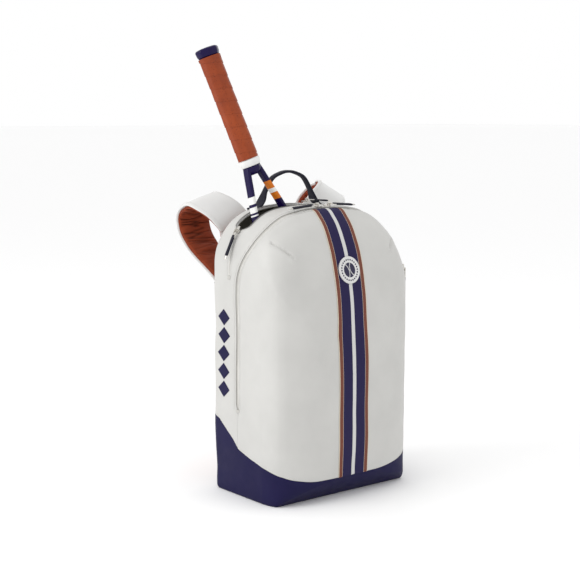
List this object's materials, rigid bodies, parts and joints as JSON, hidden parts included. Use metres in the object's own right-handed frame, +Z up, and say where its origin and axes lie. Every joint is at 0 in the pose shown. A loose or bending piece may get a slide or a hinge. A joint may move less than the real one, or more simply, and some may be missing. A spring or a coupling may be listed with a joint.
{
  "type": "racket backpack",
  "caption": "Domed racket backpack with a contrast boot, centre stripe, arched zips and padded straps, holding a racket whose handle stands out of the rear compartment",
  "frame": {"origin": "the middle of the base where the bag stands on the floor", "axes": "+Z up, front faces -Y, +X is the viewer's right when looking at the front"},
  "size_m": [0.3223, 0.289, 0.701],
  "materials": {
    "boot": "deep navy coated fabric, smooth with a slight sheen",
    "coated_white": "off-white coated fabric, fine leather-like grain, matte",
    "board": "stiff dark board",
    "lining": "plain woven olive-grey lining",
    "back_mesh": "clay-brown padded fabric",
    "stripe": "navy stripe with a white centre line and clay edges",
    "badge": "white moulded disc with a navy ring of dots",
    "coil_pale": "pale grey coil zip",
    "coil_dark": "dark coil zip on navy tape",
    "coil_black": "black water-resistant coil zip",
    "webbing": "dark navy woven webbing",
    "strap_lining": "clay-brown lining, softly wrinkled",
    "black_plastic": "black moulded plastic",
    "black_pull": "soft black pull",
    "frame_paint": "violet-navy lacquer with orange and white bands",
    "grip": "clay-brown wrapped grip tape, perforated",
    "collar": "white elastic band",
    "string": "natural monofilament",
    "zip_metal": "polished zip slider metal"
  },
  "bodies": {
    "bag": {"boot": "boot", "front_panel": "coated_white", "main_zip_tape": "coated_white", "gusset": "coated_white", "base_board": "board", "divider": "lining", "laptop_sleeve": "lining", "racket_sling": "lining", "back_panel": "back_mesh", "yoke": "coated_white", "front_stripe": "stripe", "badge": "badge", "main_zip_coil": "coil_pale", "racket_zip_coil_left": "coil_pale", "racket_zip_coil_right": "coil_pale", "racket_zip_teeth_front": "coil_dark", "racket_zip_teeth_back": "coil_dark", "side_zip_coil": "coil_black", "main_zip_tab_left": "coated_white", "main_zip_tab_right": "coated_white", "racket_zip_tab_left": "coated_white", "racket_zip_tab_right": "coated_white", "handle_foot_left": "webbing", "handle_foot_right": "webbing", "strap_root_left": "coated_white", "strap_root_right": "coated_white", "anchor_wing_left": "boot", "anchor_wing_right": "boot"},
    "racket": {"racket_frame": "frame_paint", "grip": "grip", "butt_cap": "frame_paint", "collar": "collar", "strings": "string"},
    "handle": {"grab_handle": "webbing"},
    "strap_left": {"strap_pad_left": "coated_white", "strap_lining_left": "strap_lining", "ladder_lock_left": "black_plastic", "strap_webbing_left": "webbing"},
    "strap_right": {"strap_pad_right": "coated_white", "strap_lining_right": "strap_lining", "ladder_lock_right": "black_plastic", "strap_webbing_right": "webbing"},
    "main_left_slider_body": {"main_left_slider": "zip_metal"},
    "main_left_pull": {"main_left_tongue": "zip_metal", "main_left_pull_tab": "webbing"},
    "main_right_slider_body": {"main_right_slider": "zip_metal"},
    "main_right_pull": {"main_right_tongue": "zip_metal", "main_right_pull_tab": "webbing"},
    "racket_left_slider_body": {"racket_left_slider": "zip_metal"},
    "racket_left_pull": {"racket_left_tongue": "zip_metal", "racket_left_pull_tab": "webbing"},
    "racket_right_slider_body": {"racket_right_slider": "zip_metal"},
    "racket_right_pull": {"racket_right_tongue": "zip_metal", "racket_right_pull_tab": "webbing"},
    "side_slider_body": {"side_slider": "zip_metal"},
    "side_pull": {"side_tongue": "zip_metal", "side_pull_tab": "black_pull"}
  },
  "joints": [
    {"name": "racket_lift", "type": "slide", "parent": "bag", "child": "racket", "axis": [-0.2787, 0.2239, 0.9339], "range_m": [0, 0.03]},
    {"name": "handle_fold", "type": "hinge", "parent": "bag", "child": "handle", "pos_m": [0, 0.072, 0.46], "axis": [-1, 0, 0], "range_deg": [0, 75]},
    {"name": "strap_left_swing", "type": "hinge", "parent": "bag", "child": "strap_left", "pos_m": [-0.074, 0.108, 0.401], "axis": [-0.0871, -0.0174, -0.996], "range_deg": [-8, 8]},
    {"name": "strap_right_swing", "type": "hinge", "parent": "bag", "child": "strap_right", "pos_m": [0.074, 0.108, 0.401], "axis": [0.0871, -0.0174, -0.996], "range_deg": [-8, 8]},
    {"name": "main_left_travel", "type": "hinge", "parent": "bag", "child": "main_left_slider_body", "pos_m": [0, -0.02, 0.049], "axis": [0, -1, 0], "range_deg": [0, 6.5]},
    {"name": "main_right_travel", "type": "hinge", "parent": "bag", "child": "main_right_slider_body", "pos_m": [0, -0.02, 0.049], "axis": [0, 1, 0], "range_deg": [0, 6.5]},
    {"name": "racket_left_travel", "type": "hinge", "parent": "bag", "child": "racket_left_slider_body", "pos_m": [-0.05, 0.0415, 0.35794], "axis": [0, -1, 0], "range_deg": [0, 11]},
    {"name": "racket_right_travel", "type": "hinge", "parent": "bag", "child": "racket_right_slider_body", "pos_m": [0, 0.0415, 0.052], "axis": [0, 1, 0], "range_deg": [0, 6.5]},
    {"name": "side_travel", "type": "slide", "parent": "bag", "child": "side_slider_body", "axis": [0, 0, -1], "range_m": [0, 0.18]},
    {"name": "main_left_pull_lift", "type": "hinge", "parent": "main_left_slider_body", "child": "main_left_pull", "pos_m": [-0.01626, -0.02193, 0.45535], "axis": [0, 0.9601, 0.2796], "range_deg": [0, 150]},
    {"name": "main_right_pull_lift", "type": "hinge", "parent": "main_right_slider_body", "child": "main_right_pull", "pos_m": [0.00813, -0.02193, 0.45559], "axis": [0, -0.96, -0.2799], "range_deg": [0, 150]},
    {"name": "racket_left_pull_lift", "type": "hinge", "parent": "racket_left_slider_body", "child": "racket_left_pull", "pos_m": [-0.12708, 0.0415, 0.41666], "axis": [0, 1, 0], "range_deg": [0, 150]},
    {"name": "racket_right_pull_lift", "type": "hinge", "parent": "racket_right_slider_body", "child": "racket_right_pull", "pos_m": [0.01526, 0.0415, 0.45861], "axis": [0, -1, 0], "range_deg": [0, 150]},
    {"name": "side_pull_lift", "type": "hinge", "parent": "side_slider_body", "child": "side_pull", "pos_m": [0.1453, -0.05019, 0.344], "axis": [-0.1731, -0.9849, 0], "range_deg": [0, 150]}
  ]
}
